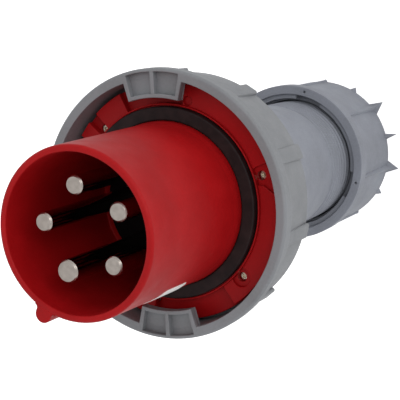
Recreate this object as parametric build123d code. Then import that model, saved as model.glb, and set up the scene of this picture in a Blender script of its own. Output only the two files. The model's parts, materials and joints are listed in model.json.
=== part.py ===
"""Five-pole pin and sleeve plug, standing on its cable gland nut with the pins upward.

All lengths are millimetres. The plug axis is Z and the origin is the middle of the rear
face of the gland nut. Names ending in _S are stations measured back from the mouth of the
shroud, names ending in _Z are heights above the rear face. Bearings are degrees clockwise
from +Y, seen when looking into the mouth.
"""

import os
from math import cos, degrees, radians, sin

from build123d import *

# Overall
LENGTH = 320.0  # mouth of the shroud to the rear face of the nut
FLANGE_S = 96.0  # front faces of the raised lands of the flange
FLANGE_DEPTH = 12.0
JOINT_S = FLANGE_S + FLANGE_DEPTH  # rear face of the flange, front face of the housing
FIT = 0.05  # radial play of a screw or a pin in its own hole
SEAT = 0.02  # play of a ring pressed in its groove

# Shroud, the red tube that enters the socket
MOUTH_R = 43.7
SHROUD_WALL = 3.6
MOUTH_BORE_R = MOUTH_R - SHROUD_WALL
MOUTH_ROUND = 1.7  # rounding of the outer rim
ROOT_RISE = 1.6  # the shroud is wider at its root by this radius
ROOT_R = MOUTH_R + ROOT_RISE
ROOT_LENGTH = 12.0
ROOT_STEP_S = FLANGE_S - ROOT_LENGTH  # here a small step leads to the root
ROOT_STEP_LENGTH = 4.0
ROOT_S = ROOT_STEP_S + ROOT_STEP_LENGTH
ROOT_STEP = 0.5
BORE_DRAFT = 0.5  # the bore narrows by this much down to the lip
LIP_TO_FLANGE = 4.0
LIP_S = FLANGE_S - LIP_TO_FLANGE  # front face of the inner lip that the carrier bears on
LIP_DEPTH = 4.0
LIP_WIDTH = 4.1
LIP_R = MOUTH_BORE_R - LIP_WIDTH
CARRIER_RELIEF = 0.9
CARRIER_BORE_R = MOUTH_BORE_R + CARRIER_RELIEF

# Key under the shroud
KEY_BEARING = 180.0
KEY_HEIGHT = 6.8
KEY_TOP_R = MOUTH_R + KEY_HEIGHT
KEY_WIDTH = 9.0
KEY_OVERRUN = 1.0
KEY_END_S = ROOT_STEP_S + KEY_OVERRUN

# Gasket on the face of the flange
GASKET_WIDTH = 7.7
GASKET_R = ROOT_R + GASKET_WIDTH
GASKET_DEPTH = 5.0
GASKET_PLAY = 0.15
GASKET_ROUND = 0.8

# Flange, one moulding with the shroud
FLANGE_BAND = 13.5
FLANGE_R = GASKET_R + FLANGE_BAND
RECESS_DEPTH = 4.0  # the floor between the lands lies this far behind them
LAND_INSET = 0.4
COLLAR_HEIGHT = 2.0  # small collar round the gasket, above the lands
COLLAR_WALL = 0.9
COLLAR_GAP = 0.6
LANDS = ((343.5, 479.0), (165.0, 268.0), (276.0, 284.0), (290.0, 307.0))

# Flange screws
SCREW_COUNT = 6
SCREW_BEARING = 46.7
SCREW_INSET = 4.2
SCREW_CIRCLE_R = GASKET_R + SCREW_INSET
SCREW_R = 1.7
SCREW_HEAD_R = 2.3
SCREW_HEAD_HEIGHT = 2.2
SCREW_LENGTH = 18.0
SCREW_SOCKET = 2.0
SCREW_SOCKET_DEPTH = 1.4
SCREW_CLEARANCE_R = 2.0
SCREW_WELL_R = 2.6
SCREW_SEAT_DEPTH = 6.6
POCKET_R = 5.2
POCKET_DEPTH = 2.0
POCKET_FLARE = 14.0  # the open pockets widen outwards by this many degrees
POCKET_BEARINGS = (46.7, 106.7, 226.7)
FLARE_BEARINGS = (46.7, 226.7)

# Contacts
PIN_CIRCLE_R = 23.0
PIN_TIP_S = 8.0
PIN_R = 5.0
EARTH_R = 6.0
PIN_CHAMFER = 0.9
PIN_HOLE_PLAY = 0.1
PIN_SEAT = 0.6  # the pin is this much thicker inside the carrier
PIN_COLLAR = 4.0  # collar and barrel are wider than the pin by these radii
PIN_BARREL = 3.0
PIN_COLLAR_DEPTH = 6.0
BARREL_PLAY = 0.2
BARREL_LENGTH = 32.0
CABLE_SOCKET_R = 5.5
CABLE_SOCKET_DEPTH = 24.0
TERMINAL_SCREW_R = 4.0
TERMINAL_SCREW_FROM_END = 9.0
TERMINAL_SCREW_PROUD = 1.5
TERMINAL_SCREW_SOCKET = 4.0
TERMINAL_SCREW_SOCKET_DEPTH = 3.0
POLES = {
    "pin_neutral": 324.0,
    "pin_line_1": 36.0,
    "pin_line_2": 108.0,
    "pin_earth": 180.0,
    "pin_line_3": 252.0,
}

# Contact carrier and its back plate
CARRIER_PLAY = 0.3
CARRIER_PROUD = 2.0  # its boss stands this far in front of the lip
CARRIER_SEAL_SECTION_R = 1.1
PLATE_OVERLAP = 8.5
PLATE_R = CARRIER_BORE_R + PLATE_OVERLAP
PLATE_DEPTH = 5.0
PLATE_SCREW_COUNT = 4
PLATE_SCREW_R = 1.5
PLATE_SCREW_LENGTH = 13.0
PLATE_SCREW_HEAD_R = 3.0
PLATE_SCREW_HEAD_HEIGHT = 2.2
PLATE_SCREW_SLOT = 0.8

# Blank label on the shroud
LABEL_THICKNESS = 0.35
LABEL_FRONT_S = 38.0
LABEL_LENGTH = 22.5
LABEL_REAR_S = LABEL_FRONT_S + LABEL_LENGTH
LABEL_BEARING = 137.0
LABEL_SPAN = 46.0

# Bayonet ring
RING_AHEAD = 12.0  # the ring reaches this far in front of the flange
RING_LENGTH = 41.0
RING_FRONT_S = FLANGE_S - RING_AHEAD
RING_REAR_S = RING_FRONT_S + RING_LENGTH
FLANGE_GAP = 2.0
RING_BORE_R = FLANGE_R + FLANGE_GAP
RING_WALL = 5.7
RING_BEAD_R = RING_BORE_R + RING_WALL
RING_BEAD_DEPTH = 7.5
RING_BEAD_STEP = 3.2
RING_WAIST_R = RING_BEAD_R - RING_BEAD_STEP
RING_TAPER = 1.8
RING_REAR_R = RING_WAIST_R - RING_TAPER
RING_FACE_ROUND = 1.7
RING_ROUND = 1.2
RING_PLAY = 0.3  # between the ring and what it turns on
RIB_DEPTH = 6.0  # rib inside the ring, held between the flange and the housing
PAD_COUNT = 10
PAD_BEARING = 5.5
PAD_WIDTH = 8.5
PAD_HEIGHT = 2.4
PAD_SETBACK = 8.0
PAD_FRONT_S = RING_FRONT_S + PAD_SETBACK
PAD_ROUND = 1.5
LUG_BEARING = 332.0
LUG_SPAN = 30.0
LUG_REACH = 10.2
LUG_R = RING_BORE_R - LUG_REACH
LUG_DEPTH = 6.0
LUG_WALL = 2.1
LUG_RIB_WIDTH = 2.0
LUG_POCKET_DEPTH = 4.0
LUG_POCKET_WALL = 2.0
STOP_BEARING = 100.0
STOP_SPAN = 6.0
STOP_DEPTH = 4.0
RING_TRAVEL = 35.0

# Rear housing
RIB_HOLD = 2.2
JOURNAL_R = FLANGE_R - RIB_HOLD  # the ring turns on this
JOURNAL_WALL = 5.0
HOUSING_BORE_R = JOURNAL_R - JOURNAL_WALL
SHOULDER_STEP = 1.7
SHOULDER_R = JOURNAL_R + SHOULDER_STEP
RING_END_GAP = 1.0
SHOULDER_END_S = RING_REAR_S + RING_END_GAP
NECK_BORE_R = 34.5
NECK_WALL = 4.8
NECK_ROOT_R = NECK_BORE_R + NECK_WALL
NECK_RISE = 2.2  # the neck widens by this radius up to the bell
NECK_R = NECK_ROOT_R + NECK_RISE
BELL_DROP = 7.5
BELL_MID_R = SHOULDER_R - BELL_DROP
BELL_MID_LENGTH = 17.0
BELL_MID_S = SHOULDER_END_S + BELL_MID_LENGTH
BELL_FOOT = 2.5
BELL_END_R = NECK_R + BELL_FOOT
BELL_LENGTH = 25.0
BELL_END_S = BELL_MID_S + BELL_LENGTH
BELL_ROUND = 12.0
NECK_LENGTH = 28.0
NECK_S = BELL_END_S + NECK_LENGTH
NECK_END_Z = 28.0
HOUSING_WALL = 4.4
BOSS_R = 5.6
BOSS_LENGTH = 22.0
HOUSING_SEAL_R = (HOUSING_BORE_R + JOURNAL_R) / 2
HOUSING_SEAL_SECTION_R = 1.0

# Thread on the neck
THREAD_HEIGHT = 1.0
THREAD_R = NECK_ROOT_R + THREAD_HEIGHT
THREAD_PITCH = 4.5
THREAD_WIDTH = 2.8
THREAD_CREST = 1.0
THREAD_PLAIN = 38.0  # plain part of the neck between the bell and the thread
THREAD_TOP_Z = LENGTH - NECK_S - THREAD_PLAIN
THREAD_RUNOUT = 0.8

# Gland nut
NUT_HEIGHT = 60.0
NUT_THREAD_PLAY = 0.7
NUT_BORE_R = THREAD_R + NUT_THREAD_PLAY
NUT_MOUTH_STEP = 4.5
NUT_MOUTH_R = NUT_BORE_R + NUT_MOUTH_STEP
NUT_MOUTH_DEPTH = 9.0
NUT_MOUTH_WALL = 3.9
NUT_R = NUT_MOUTH_R + NUT_MOUTH_WALL
NUT_COLLAR_STEP = 1.9
NUT_COLLAR_R = NUT_R + NUT_COLLAR_STEP
NUT_COLLAR_DEPTH = 9.0
NUT_WEB = 10.0
NUT_HOLE_STEP = 6.5
NUT_HOLE_R = NECK_BORE_R - NUT_HOLE_STEP
NUT_EDGE = 1.2
NUT_DOT_R = 0.8
NUT_DOT_DEPTH = 2.0
NUT_DOT_BEARING = 78.0
NUT_DOT_COUNT = 4
SEGMENT_COUNT = 4
SEGMENT_BEARING = 37.0
SEGMENT_SPAN = 67.0
SEGMENT_HEIGHT = 6.5
SEGMENT_INNER_PLAY = 1.5

# Fins of the nut, in two like groups on opposite sides
FIN_GROUPS = (50.0, 230.0)  # bearings of the middle fins
FIN_HEIGHT = 7.6
FIN_FOOT_ANGLE = 2.8
# For each fin beside the middle one: its angle from it, its height, the angles that its
# outer flank and its inner flank take up, and whether it runs on to the collar.
SIDE_FINS = (
    (24.3, 8.1, 7.0, 6.0, True),
    (46.5, 2.9, 6.0, 4.0, False),
    (72.0, 1.7, 6.0, 3.5, True),
)
FIN_EDGE = 0.8
FIN_SPIKE = 5.0  # the fins are high only over this length
FIN_FADE = 0.5  # a short fin ends this far under the surface
FIN_RIDGE = 1.3  # a long fin runs to the collar as a ridge of this height
FIN_SPIKE_SHARE = 0.35
FIN_SLIM = 0.3
FIN_SINK = 1.0

# Gland, from the nut inwards
CAGE_FINGER_PLAY = 1.1
CAGE_FINGER_R = NECK_BORE_R - CAGE_FINGER_PLAY
CAGE_TAPER = 2.2
CAGE_TIP_R = CAGE_FINGER_R - CAGE_TAPER
CAGE_WALL = 6.9
CAGE_BORE_R = NECK_BORE_R - CAGE_WALL
CAGE_TIP_Z = 14.0
CAGE_TAPER_Z = 22.0
CAGE_FINGER_TOP_Z = 36.0
CAGE_TOP_Z = 44.0
FINGER_COUNT = 12
FINGER_GAP = 2.5
THRUST_HEIGHT = 12.0
THRUST_PLAY = 0.1
THRUST_MOUTH_GAP = 1.2
THRUST_MOUTH_R = CAGE_FINGER_R + THRUST_MOUTH_GAP
THRUST_THROAT_GAP = 1.0
THRUST_THROAT_R = CAGE_TIP_R + THRUST_THROAT_GAP
GLAND_PLAY = 0.3
WASHER_THICKNESS = 1.5
BUSH_LENGTH = 24.5
BUSH_WALL = 9.0
BUSH_BORE_R = NECK_BORE_R - BUSH_WALL
BUSH_GROOVE_DEPTH = 1.5
BUSH_GROOVE_WIDTH = 3.0
BUSH_GROOVE_COUNT = 3
SEAT_LIP_WIDTH = 4.5
SEAT_LIP_R = NECK_BORE_R - SEAT_LIP_WIDTH
SEAT_LIP_DEPTH = 4.0


def up(station):
    """Height of a station measured back from the mouth."""
    return LENGTH - station


def spot(radius, bearing):
    """X and Y of a point at a radius and bearing."""
    angle = radians(bearing)
    return (radius * sin(angle), radius * cos(angle))


def turned(points, rounds=()):
    """Solid turned about Z from (radius, height) points, rounded at the indexed corners."""
    face = make_face(Polyline(*points, close=True).edges())
    for index, size in rounds:
        r, z = points[index]
        corner = face.vertices().sort_by_distance((r, z, 0))[0]
        face = fillet(corner, size)
    return revolve(Plane.XZ * face, Axis.Z)


def tube(inner, outer, low, high):
    """Plain tube about Z."""
    return turned([(inner, low), (outer, low), (outer, high), (inner, high)])


def drum(radius, low, high, bearing=0.0, circle=0.0):
    """Cylinder along Z, on a circle about the axis."""
    x, y = spot(circle, bearing)
    return Pos(x, y, (low + high) / 2) * Cylinder(radius, high - low)


def sector_of(points, start, end):
    """Part of a turned shape between two bearings."""
    face = Plane.XZ * make_face(Polyline(*points, close=True).edges())
    return Rot(0, 0, 90 - end) * revolve(face, Axis.Z, end - start)


def sector(inner, outer, low, high, start, end):
    """Part of a plain tube between two bearings."""
    return sector_of([(inner, low), (outer, low), (outer, high), (inner, high)], start, end)


def spread(count, first):
    """Equally spaced bearings."""
    return [first + 360.0 / count * i for i in range(count)]


def o_ring(circle, section, height):
    """Round section seal."""
    return Pos(0, 0, height) * Torus(circle, section)


def group(shapes):
    """Several separate solids under one name."""
    return Compound(children=[part for shape in shapes for part in shape.solids()])


def shroud_radius(station):
    """Outer radius of the slightly tapered shroud."""
    return MOUTH_R + (ROOT_R - ROOT_STEP - MOUTH_R) * station / ROOT_STEP_S


def pin_radius(name):
    """The earth pin is thicker than the others."""
    return EARTH_R if name == "pin_earth" else PIN_R


def flange_collar_inner():
    """Inner radius of the small collar round the gasket."""
    return GASKET_R + COLLAR_GAP


def flange_lands():
    """Raised lands between the collar and the edge of the flange."""
    inner = flange_collar_inner() + COLLAR_WALL / 2
    outer = FLANGE_R - LAND_INSET
    low = up(FLANGE_S + RECESS_DEPTH) - 1
    return [sector(inner, outer, low, up(FLANGE_S), start, end) for start, end in LANDS]


def flange_flare(bearing, low, high):
    """Outline of the open side of a pocket, with one slanting edge."""
    half = degrees(POCKET_R / SCREW_CIRCLE_R)
    inner = flange_collar_inner() + COLLAR_WALL / 2
    outer = FLANGE_R + 2
    corners = (
        spot(inner, bearing - half / 2),
        spot(outer, bearing - half),
        spot(outer, bearing + POCKET_FLARE),
        spot(inner, bearing + half / 2),
    )
    face = make_face(Polyline(*corners, close=True).edges())
    return Pos(0, 0, low) * extrude(face, high - low)


def flange_pockets():
    """Wells and holes for the flange screws, and the shallow pockets round some of them."""
    cuts = []
    floor = up(FLANGE_S + POCKET_DEPTH)
    seat = up(FLANGE_S + SCREW_SEAT_DEPTH)
    top = up(FLANGE_S) + COLLAR_HEIGHT + 1
    collar = drum(flange_collar_inner() + COLLAR_WALL, floor, top)
    for bearing in POCKET_BEARINGS:
        cuts.append(drum(POCKET_R, floor, top, bearing, SCREW_CIRCLE_R) - collar)
    for bearing in FLARE_BEARINGS:
        cuts.append(flange_flare(bearing, floor, top) - collar)
    for bearing in spread(SCREW_COUNT, SCREW_BEARING):
        cuts.append(drum(SCREW_WELL_R, seat, top, bearing, SCREW_CIRCLE_R))
        cuts.append(drum(SCREW_CLEARANCE_R, up(JOINT_S) - 1, top, bearing, SCREW_CIRCLE_R))
    return cuts


def key():
    """Locating key along the outside of the shroud."""
    nose = KEY_WIDTH / 2
    centre = KEY_TOP_R - nose
    base = (MOUTH_R + MOUTH_BORE_R) / 2
    section = Pos(0, (base + centre) / 2) * Rectangle(KEY_WIDTH, centre - base)
    section += Pos(0, centre) * Circle(nose)
    bar = Pos(0, 0, up(KEY_END_S)) * extrude(section, KEY_END_S)
    front = bar.faces().sort_by(Axis.Z)[-1]
    bar = chamfer(front.edges(), PIN_CHAMFER)
    return Rot(0, 0, -KEY_BEARING) * bar


def front_shroud():
    """Shroud, flange and key in one red moulding."""
    lip_end = LIP_S + LIP_DEPTH
    bore = MOUTH_BORE_R - BORE_DRAFT
    collar = flange_collar_inner()
    floor = up(FLANGE_S + RECESS_DEPTH)
    body = turned(
        [
            (MOUTH_BORE_R, up(0)),
            (MOUTH_R, up(0)),
            (ROOT_R - ROOT_STEP, up(ROOT_STEP_S)),
            (ROOT_R, up(ROOT_S)),
            (ROOT_R, up(FLANGE_S)),
            (collar, up(FLANGE_S)),
            (collar, up(FLANGE_S) + COLLAR_HEIGHT),
            (collar + COLLAR_WALL, up(FLANGE_S) + COLLAR_HEIGHT),
            (collar + COLLAR_WALL, floor),
            (FLANGE_R, floor),
            (FLANGE_R, up(JOINT_S)),
            (CARRIER_BORE_R, up(JOINT_S)),
            (CARRIER_BORE_R, up(lip_end)),
            (LIP_R, up(lip_end)),
            (LIP_R, up(LIP_S)),
            (bore, up(LIP_S)),
        ],
        rounds=((0, MOUTH_ROUND / 2), (1, MOUTH_ROUND)),
    )
    body += key()
    body += flange_lands()
    body -= flange_pockets()
    top = up(JOINT_S) + PLATE_SCREW_LENGTH - PLATE_DEPTH + 1
    for bearing in spread(PLATE_SCREW_COUNT, 0):
        body -= drum(PLATE_SCREW_R + FIT, up(JOINT_S) - 1, top, bearing, plate_screw_circle())
    return body


def blank_label():
    """Blank label stuck on the shroud."""
    front = shroud_radius(LABEL_FRONT_S) + SEAT
    rear = shroud_radius(LABEL_REAR_S) + SEAT
    points = [
        (front, up(LABEL_FRONT_S)),
        (front + LABEL_THICKNESS, up(LABEL_FRONT_S)),
        (rear + LABEL_THICKNESS, up(LABEL_REAR_S)),
        (rear, up(LABEL_REAR_S)),
    ]
    half = LABEL_SPAN / 2
    return sector_of(points, LABEL_BEARING - half, LABEL_BEARING + half)


def face_gasket():
    """Flat gasket that the socket lid or cap is pressed on."""
    inner = ROOT_R + GASKET_PLAY
    low = up(FLANGE_S)
    high = low + GASKET_DEPTH
    points = [(inner, low), (GASKET_R, low), (GASKET_R, high), (inner, high)]
    return turned(points, rounds=((2, GASKET_ROUND), (3, GASKET_ROUND)))


def plate_screw_circle():
    """The plate screws enter the flange just outside the carrier bore."""
    return (CARRIER_BORE_R + PLATE_R) / 2


def carrier_seal_circle():
    """The seal lies in the middle of the carrier's shoulder."""
    return (LIP_R + CARRIER_BORE_R) / 2


def contact_carrier():
    """Insulating block that holds the pins."""
    boss = LIP_R - CARRIER_PLAY
    body_r = CARRIER_BORE_R - CARRIER_PLAY
    shoulder = up(LIP_S + LIP_DEPTH)
    front = up(LIP_S) + CARRIER_PROUD
    rear = up(JOINT_S)
    block = turned(
        [(0, rear), (body_r, rear), (body_r, shoulder), (boss, shoulder), (boss, front), (0, front)],
        rounds=((4, PIN_CHAMFER),),
    )
    depth = 2 * (CARRIER_SEAL_SECTION_R + SEAT)
    circle = carrier_seal_circle()
    half = CARRIER_SEAL_SECTION_R + PIN_HOLE_PLAY
    block -= tube(circle - half, circle + half, shoulder - depth, shoulder + 1)
    for name, bearing in POLES.items():
        r = pin_radius(name)
        block -= drum(r + PIN_SEAT + PIN_HOLE_PLAY, rear - 1, front + 1, bearing, PIN_CIRCLE_R)
        collar = r + PIN_COLLAR + PIN_HOLE_PLAY
        block -= drum(collar, rear - 1, rear + PIN_COLLAR_DEPTH, bearing, PIN_CIRCLE_R)
    return block


def carrier_seal():
    """Seal between the carrier and the lip of the shroud."""
    height = up(LIP_S + LIP_DEPTH) - CARRIER_SEAL_SECTION_R - SEAT
    return o_ring(carrier_seal_circle(), CARRIER_SEAL_SECTION_R, height)


def carrier_back_plate():
    """Plate that traps the pin collars in the carrier."""
    high = up(JOINT_S)
    low = high - PLATE_DEPTH
    plate = drum(PLATE_R, low, high)
    for name, bearing in POLES.items():
        barrel = pin_radius(name) + PIN_BARREL + BARREL_PLAY
        plate -= drum(barrel, low - 1, high + 1, bearing, PIN_CIRCLE_R)
    for bearing in spread(PLATE_SCREW_COUNT, 0):
        hole = PLATE_SCREW_R + BARREL_PLAY
        plate -= drum(hole, low - 1, high + 1, bearing, plate_screw_circle())
    return plate


def barrel_end_z():
    """Rear ends of the terminal barrels."""
    return up(JOINT_S) - BARREL_LENGTH


def contact_pin(name):
    """Turned pin with a collar and a terminal barrel."""
    r = pin_radius(name)
    collar = r + PIN_COLLAR
    barrel = r + PIN_BARREL
    joint = up(JOINT_S)
    step = joint + PIN_COLLAR_DEPTH
    front = up(LIP_S)
    end = barrel_end_z()
    body = turned(
        [
            (0, end),
            (barrel - PIN_CHAMFER, end),
            (barrel, end + PIN_CHAMFER),
            (barrel, joint),
            (collar, joint),
            (collar, step),
            (r + PIN_SEAT, step),
            (r + PIN_SEAT, front),
            (r, front),
            (r, up(PIN_TIP_S) - PIN_CHAMFER),
            (r - PIN_CHAMFER, up(PIN_TIP_S)),
            (0, up(PIN_TIP_S)),
        ]
    )
    body -= drum(CABLE_SOCKET_R, end - 1, end + CABLE_SOCKET_DEPTH)
    height = end + TERMINAL_SCREW_FROM_END
    body -= Pos(0, barrel / 2, height) * Rot(90, 0, 0) * Cylinder(TERMINAL_SCREW_R + FIT, barrel)
    x, y = spot(PIN_CIRCLE_R, POLES[name])
    return Pos(x, y, 0) * Rot(0, 0, -POLES[name]) * body


def terminal_screws():
    """One set screw in each barrel, facing outwards."""
    screws = []
    height = barrel_end_z() + TERMINAL_SCREW_FROM_END
    for name, bearing in POLES.items():
        tip = CABLE_SOCKET_R
        head = pin_radius(name) + PIN_BARREL + TERMINAL_SCREW_PROUD
        socket = RegularPolygon(TERMINAL_SCREW_SOCKET / 2, 6, major_radius=False)
        screw = Pos(0, 0, (tip + head) / 2) * Cylinder(TERMINAL_SCREW_R, head - tip)
        recess = Pos(0, 0, head - TERMINAL_SCREW_SOCKET_DEPTH) * extrude(socket, head)
        screw = Rot(-90, 0, 0) * (screw - recess)
        x, y = spot(PIN_CIRCLE_R, bearing)
        screws.append(Pos(x, y, height) * Rot(0, 0, -bearing) * screw)
    return group(screws)


def carrier_screws():
    """Slotted screws that hold the back plate on the flange."""
    screws = []
    low = up(JOINT_S) - PLATE_DEPTH
    circle = plate_screw_circle()
    for bearing in spread(PLATE_SCREW_COUNT, 0):
        shank = drum(PLATE_SCREW_R, low, low + PLATE_SCREW_LENGTH, bearing, circle)
        head = drum(PLATE_SCREW_HEAD_R, low - PLATE_SCREW_HEAD_HEIGHT, low, bearing, circle)
        x, y = spot(circle, bearing)
        slot = Box(3 * PLATE_SCREW_HEAD_R, PLATE_SCREW_SLOT, PLATE_SCREW_HEAD_HEIGHT)
        slot = Pos(x, y, low - PLATE_SCREW_HEAD_HEIGHT) * Rot(0, 0, bearing) * slot
        screws.append(shank + head - slot)
    return group(screws)


def flange_screws():
    """Socket head screws that hold the shroud on the housing."""
    screws = []
    seat = up(FLANGE_S + SCREW_SEAT_DEPTH)
    for bearing in spread(SCREW_COUNT, SCREW_BEARING):
        top = seat + SCREW_HEAD_HEIGHT
        head = drum(SCREW_HEAD_R, seat, top, bearing, SCREW_CIRCLE_R)
        shank = drum(SCREW_R, seat - SCREW_LENGTH, seat, bearing, SCREW_CIRCLE_R)
        x, y = spot(SCREW_CIRCLE_R, bearing)
        socket = RegularPolygon(SCREW_SOCKET / 2, 6, major_radius=False)
        recess = Pos(x, y, top - SCREW_SOCKET_DEPTH) * extrude(socket, SCREW_HEAD_HEIGHT)
        screws.append(head + shank - recess)
    return group(screws)


def ring_lugs():
    """Two inward lugs, and the pockets moulded in them."""
    lugs = []
    pockets = []
    low = up(RING_FRONT_S + LUG_DEPTH)
    high = up(RING_FRONT_S)
    floor = high - LUG_POCKET_DEPTH
    half = LUG_SPAN / 2
    wall = degrees(LUG_WALL / LUG_R)
    rib = degrees(LUG_RIB_WIDTH / 2 / LUG_R)
    outer = RING_BEAD_R - LUG_POCKET_WALL
    for turn in (0, 180):
        centre = LUG_BEARING + turn
        lugs.append(sector(LUG_R, RING_BORE_R + 1, low, high, centre - half, centre + half))
        for start, end in ((-half + wall, -rib), (rib, half - wall)):
            pockets.append(
                sector(LUG_R + LUG_WALL, outer, floor, up(0), centre + start, centre + end)
            )
    return lugs, pockets


def ring_pads():
    """Grip pads round the rear part of the ring."""
    low = up(RING_REAR_S)
    high = up(PAD_FRONT_S)
    pads = []
    middle = (RING_REAR_R + RING_BORE_R) / 2
    top = RING_REAR_R + PAD_HEIGHT
    depth = top - middle
    pad = Pos(0, middle + depth / 2, (low + high) / 2) * Box(PAD_WIDTH, depth, high - low)
    pad = fillet(pad.faces().sort_by(Axis.Y)[-1].edges(), PAD_ROUND)
    for bearing in spread(PAD_COUNT, PAD_BEARING):
        pads.append(Rot(0, 0, -bearing) * pad)
    return pads


def rib_faces():
    """Heights of the two faces of the rib inside the ring."""
    return up(JOINT_S + RIB_DEPTH) + RING_PLAY, up(JOINT_S) - RING_PLAY


def bayonet_ring():
    """Turning ring with grip pads, inward lugs and an inner rib."""
    bead_end = up(RING_FRONT_S + RING_BEAD_DEPTH)
    rib_low, rib_high = rib_faces()
    rib_r = JOURNAL_R + RING_PLAY
    rear_bore = SHOULDER_R + RING_PLAY
    ring = turned(
        [
            (RING_BORE_R, up(RING_FRONT_S)),
            (RING_BEAD_R, up(RING_FRONT_S)),
            (RING_BEAD_R, bead_end),
            (RING_WAIST_R, bead_end - RING_BEAD_STEP),
            (RING_REAR_R, up(RING_REAR_S)),
            (rear_bore, up(RING_REAR_S)),
            (rear_bore, rib_low),
            (rib_r, rib_low),
            (rib_r, rib_high),
            (RING_BORE_R, rib_high),
        ],
        rounds=((1, RING_FACE_ROUND), (2, RING_ROUND), (3, RING_ROUND)),
    )
    lugs, pockets = ring_lugs()
    ring += ring_pads()
    ring += lugs
    ring -= pockets
    half = STOP_SPAN / 2
    low = rib_low - STOP_DEPTH
    stop = sector(rib_r, rear_bore + 1, low, rib_low + 1, STOP_BEARING - half, STOP_BEARING + half)
    ring += stop
    return ring


def housing_shell():
    """Turned body of the housing, open at both ends."""
    joint = up(JOINT_S)
    shoulder = up(JOINT_S + RIB_DEPTH)
    lip_low = gland_seat_z()
    bell_bore = BELL_END_R - HOUSING_WALL
    neck_top = NECK_ROOT_R - HOUSING_WALL
    runout = THREAD_TOP_Z + THREAD_RUNOUT
    return turned(
        [
            (HOUSING_BORE_R, joint),
            (JOURNAL_R, joint),
            (JOURNAL_R, shoulder),
            (SHOULDER_R, shoulder),
            (SHOULDER_R, up(SHOULDER_END_S)),
            (BELL_MID_R, up(BELL_MID_S)),
            (BELL_END_R, up(BELL_END_S)),
            (NECK_R, up(NECK_S)),
            (THREAD_R + THREAD_RUNOUT / 4, runout + THREAD_HEIGHT),
            (NECK_ROOT_R, runout),
            (NECK_ROOT_R, NECK_END_Z + NUT_EDGE),
            (NECK_ROOT_R - NUT_EDGE, NECK_END_Z),
            (NECK_BORE_R, NECK_END_Z),
            (NECK_BORE_R, lip_low),
            (SEAT_LIP_R, lip_low),
            (SEAT_LIP_R, lip_low + SEAT_LIP_DEPTH),
            (NECK_BORE_R, lip_low + 2 * SEAT_LIP_DEPTH),
            (neck_top, up(NECK_S)),
            (bell_bore, up(BELL_END_S)),
            (BELL_MID_R - HOUSING_WALL, up(BELL_MID_S)),
            (HOUSING_BORE_R, up(SHOULDER_END_S)),
        ],
        rounds=((5, BELL_ROUND), (6, BELL_ROUND)),
    )


def neck_thread():
    """Coarse rounded thread on the neck."""
    start = NECK_END_Z + THREAD_WIDTH
    height = THREAD_TOP_Z - THREAD_WIDTH / 2 - start
    path = Helix(pitch=THREAD_PITCH, height=height, radius=NECK_ROOT_R)
    root = THREAD_WIDTH / 2
    crest = THREAD_CREST / 2
    sunk = -THREAD_HEIGHT / 2
    corners = ((sunk, -root), (THREAD_HEIGHT, -crest), (THREAD_HEIGHT, crest), (sunk, root))
    section = make_face(Polyline(*corners, close=True).edges())
    plane = Plane(origin=path @ 0, x_dir=(1, 0, 0), z_dir=path % 0)
    return Pos(0, 0, start) * sweep(plane * section, path, is_frenet=True)


def rear_housing():
    """Bell and threaded neck in one moulding."""
    joint = up(JOINT_S)
    shell = housing_shell() + neck_thread()
    hole_end = up(FLANGE_S + SCREW_SEAT_DEPTH) - SCREW_LENGTH - 1
    for bearing in spread(SCREW_COUNT, SCREW_BEARING):
        shell += drum(BOSS_R, joint - BOSS_LENGTH, joint, bearing, SCREW_CIRCLE_R)
    for bearing in spread(SCREW_COUNT, SCREW_BEARING):
        shell -= drum(SCREW_R + FIT, hole_end, joint + 1, bearing, SCREW_CIRCLE_R)
    half = HOUSING_SEAL_SECTION_R + FIT
    depth = 2 * (HOUSING_SEAL_SECTION_R + SEAT)
    shell -= tube(HOUSING_SEAL_R - half, HOUSING_SEAL_R + half, joint - depth, joint + 1)
    shoulder = up(JOINT_S + RIB_DEPTH)
    start = STOP_BEARING - STOP_SPAN / 2 - RING_TRAVEL - 1
    end = STOP_BEARING + STOP_SPAN / 2 + 1
    low = shoulder - STOP_DEPTH - RING_PLAY
    shell -= sector(JOURNAL_R, SHOULDER_R + 1, low, shoulder + 1, start, end)
    return shell


def housing_seal():
    """Seal between the housing and the flange."""
    height = up(JOINT_S) - HOUSING_SEAL_SECTION_R - SEAT
    return o_ring(HOUSING_SEAL_R, HOUSING_SEAL_SECTION_R, height)


def gland_seat_z():
    """Height of the lip that the rubber bush bears on."""
    return CAGE_TOP_Z + WASHER_THICKNESS + BUSH_LENGTH


def gland_bush():
    """Rubber bush that closes round the cable."""
    low = CAGE_TOP_Z + WASHER_THICKNESS
    high = gland_seat_z()
    outer = NECK_BORE_R - GLAND_PLAY
    bush = tube(BUSH_BORE_R, outer, low, high)
    step = (high - low) / (BUSH_GROOVE_COUNT + 1)
    for i in range(BUSH_GROOVE_COUNT):
        middle = low + step * (i + 1)
        half = BUSH_GROOVE_WIDTH / 2
        bush -= tube(outer - BUSH_GROOVE_DEPTH, outer + 1, middle - half, middle + half)
    return bush


def gland_washer():
    """Slip washer between the bush and the cage."""
    return tube(CAGE_BORE_R, NECK_BORE_R - GLAND_PLAY, CAGE_TOP_Z, CAGE_TOP_Z + WASHER_THICKNESS)


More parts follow.
